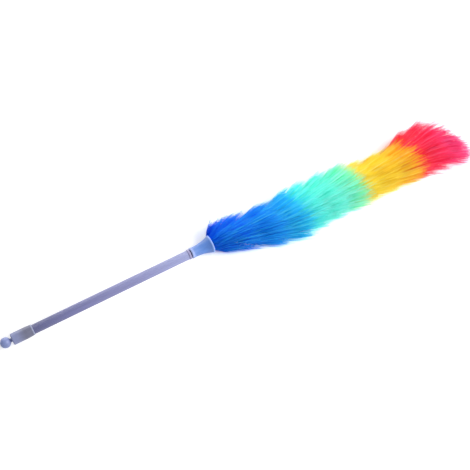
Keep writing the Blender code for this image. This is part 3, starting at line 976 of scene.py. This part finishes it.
def tube_tree():
    """A fluted tube: its outline and its bore filled, drawn out upwards and closed."""
    tree, given = node_group("Fluted tube", TUBE_INPUTS)
    outline = add(
        tree,
        "GeometryNodeCurvePrimitiveCircle",
        {"Resolution": POINTS_PER_FLUTE * FLUTES, "Radius": given["Radius"]},
    )
    wave = add(tree, "GeometryNodeSplineParameter")
    wave = add(tree, "ShaderNodeMath", {0: wave, 1: given["Flutes"]}, operation="MULTIPLY")
    wave = add(tree, "ShaderNodeMath", {0: wave, 1: 2 * math.pi}, operation="MULTIPLY")
    wave = add(tree, "ShaderNodeMath", {0: wave}, operation="COSINE")
    flute = add(tree, "ShaderNodeMapRange", {"Value": wave, "From Min": 1.0, "From Max": -1.0})
    outline = add(
        tree,
        "GeometryNodeStoreNamedAttribute",
        {"Geometry": outline, "Name": "flute_share", "Value": flute},
        domain="POINT",
    )
    sunk = add(tree, "ShaderNodeMath", {0: flute, 1: given["Flute Depth"]}, operation="MULTIPLY")
    outward = add(tree, "GeometryNodeInputPosition")
    inward = add(tree, "ShaderNodeVectorMath", {0: outward, 1: (-1, -1, -1)}, operation="MULTIPLY")
    inward = add(tree, "ShaderNodeVectorMath", {0: inward}, operation="NORMALIZE")
    inward = add(tree, "ShaderNodeVectorMath", {0: inward, "Scale": sunk}, operation="SCALE")
    outline = add(tree, "GeometryNodeSetPosition", {"Geometry": outline, "Offset": inward})
    bore = add(
        tree,
        "GeometryNodeCurvePrimitiveCircle",
        {"Resolution": TURNED_STEPS, "Radius": given["Bore"]},
    )
    both = add(tree, "GeometryNodeJoinGeometry", {"Geometry": outline})
    tree.links.new(bore, both.node.inputs[0])
    face = add(tree, "GeometryNodeFillCurve", {"Curve": both})
    drawn = add(
        tree,
        "GeometryNodeExtrudeMesh",
        {"Mesh": face, "Offset": (0, 0, 1), "Offset Scale": given["Length"], "Individual": False},
        mode="FACES",
    )
    flipped = add(tree, "GeometryNodeFlipFaces", {"Mesh": face})
    whole = add(tree, "GeometryNodeJoinGeometry", {"Geometry": drawn})
    tree.links.new(flipped, whole.node.inputs[0])
    whole = add(tree, "GeometryNodeMergeByDistance", {"Geometry": whole, "Distance": WELD})
    whole = add(tree, "GeometryNodeRealizeInstances", {"Geometry": whole})
    whole = add(tree, "GeometryNodeSetMaterial", {"Geometry": whole, "Material": given["Material"]})
    add(tree, "NodeGroupOutput", {"Geometry": whole})
    return tree


def make_outer_tube(material):
    """The fluted grip."""
    low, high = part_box("outer_tube")
    settings = {
        "Radius": 6.6 * MM,
        "Bore": 5.4 * MM,
        "Flute Depth": 0.3 * MM,
        "Length": high.x - low.x,
        "Flutes": FLUTES,
        "Material": material,
    }
    mesh = grown(tube_tree(), bpy.data.meshes.new("tube"), settings)
    # The tree draws it upright; it lies along the handle
    for vert in mesh.vertices:
        x, y, z = vert.co
        vert.co = (low.x + z, AXIS_Y + x, AXIS_HEIGHT + y)
    finish_piece("outer_tube_fluted", mesh, "handle", "lilac_plastic", "outer_tube")


def make_handle():
    """The handle's pieces, the ferrule, and the finish of what they hide."""
    finish = {key: plastic(*settings) for key, settings in HANDLE_FINISHES.items()}
    make_ball(finish["milky"])
    make_cap(finish["milky"])
    make_outer_tube(finish["lilac"])
    make_ring(finish["ring"])
    make_ferrule(finish["bell"], make_inner_tube(finish["inner"]))
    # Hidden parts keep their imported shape
    for node, material in (
        ("slide_bush", finish["bush"]),
        ("friction_ring", finish["rubber"]),
        ("core_plug", finish["plug"]),
        ("core_wire", wire_material()),
    ):
        for slot in bpy.data.objects[node].material_slots:
            slot.material = material


# The white table and room. White shows to the eye, and the room lights the duster less than that.
WHITE = linear("#FFFFFF")
PAPER_ROUGHNESS = 0.9
ROOM_LIGHT = 0.37
FLOOR_GLOW = 0.25
FLOOR_SIDE = 2.2
LAMP_SIZE = 1.0
# Each lamp: name, place, watts
LAMPS = (
    ("key_softbox", (0.9, -0.7, 1.1), 25.2),
    ("back_softbox", (-0.1, 1.1, 0.45), 8.5),
)


def make_stage():
    """A sheet of white paper in a white room, under two soft lamps."""
    mesh = bpy.data.meshes.new("floor")
    half = FLOOR_SIDE / 2
    corners = [(-half, -half, 0), (half, -half, 0), (half, half, 0), (-half, half, 0)]
    mesh.from_pydata(corners, [], [(0, 1, 2, 3)])
    floor = bpy.data.objects.new("floor", mesh)
    bpy.context.scene.collection.objects.link(floor)
    material = bpy.data.materials.new("white_paper_sweep")
    material.use_nodes = True
    shader = material.node_tree.nodes["Principled BSDF"]
    shader.inputs["Base Color"].default_value = WHITE
    shader.inputs["Roughness"].default_value = PAPER_ROUGHNESS
    shader.inputs["Emission Color"].default_value = WHITE
    mesh.materials.append(material)
    world = bpy.data.worlds.new("studio")
    bpy.context.scene.world = world
    world.use_nodes = True
    background = world.node_tree.nodes["Background"]
    background.inputs["Color"].default_value = WHITE

    # What the camera, a gloss or a clear part sees of floor and room is white
    for tree, socket, unseen, seen in (
        (material.node_tree, shader.inputs["Emission Strength"], 0.0, FLOOR_GLOW),
        (world.node_tree, background.inputs["Strength"], ROOM_LIGHT, 1.0),
    ):
        rays = add(tree, "ShaderNodeLightPath").node.outputs
        by_eye = add(
            tree,
            "ShaderNodeMath",
            {0: rays["Is Camera Ray"], 1: rays["Is Glossy Ray"]},
            operation="MAXIMUM",
        )
        by_eye = add(
            tree, "ShaderNodeMath", {0: by_eye, 1: rays["Is Transmission Ray"]}, operation="MAXIMUM"
        )
        strength = add(
            tree, "ShaderNodeMapRange", {"Value": by_eye, "To Min": unseen, "To Max": seen}
        )
        tree.links.new(strength, socket)

    for name, place, watts in LAMPS:
        light = bpy.data.lights.new(name, "AREA")
        light.energy = watts
        light.size = LAMP_SIZE
        lamp = bpy.data.objects.new(name, light)
        lamp.location = place
        lamp.rotation_euler = (-Vector(place)).to_track_quat("-Z", "Y").to_euler()
        bpy.context.scene.collection.objects.link(lamp)


# The camera of the photograph. A point of the handle's axis anchors it: how far that is from the
# butt, and how far to the right, up and away from the camera the photograph shows it.
PICTURE_SIDE = 470
FOCAL_PIXELS = 850
SENSOR = 36.0
AZIMUTH = math.radians(-29.5)
ELEVATION = math.radians(58.5)
ANCHOR_X = 66.3 * MM
SHOWN = (-0.2489, -0.1163, 1.1276)


def make_camera():
    """The photograph's view: turned to the left of the duster and looking steeply down on it."""
    forward = Vector(
        (
            -math.cos(ELEVATION) * math.sin(AZIMUTH),
            math.cos(ELEVATION) * math.cos(AZIMUTH),
            -math.sin(ELEVATION),
        )
    )
    right = forward.cross(Vector((0, 0, 1))).normalized()
    up = right.cross(forward)
    anchor = Vector((BUTT_X + ANCHOR_X, AXIS_Y, AXIS_HEIGHT))
    shown = Vector(SHOWN)
    camera = bpy.data.objects.new("camera", bpy.data.cameras.new("camera"))
    camera.data.sensor_width = SENSOR
    camera.data.lens = FOCAL_PIXELS / PICTURE_SIDE * SENSOR
    camera.location = anchor - shown.x * right - shown.y * up - shown.z * forward
    camera.rotation_euler = forward.to_track_quat("-Z", "Y").to_euler()
    bpy.context.scene.collection.objects.link(camera)
    bpy.context.scene.camera = camera


make_tufts()
make_handle()
make_stage()
make_camera()
bpy.context.scene.view_settings.view_transform = "Standard"
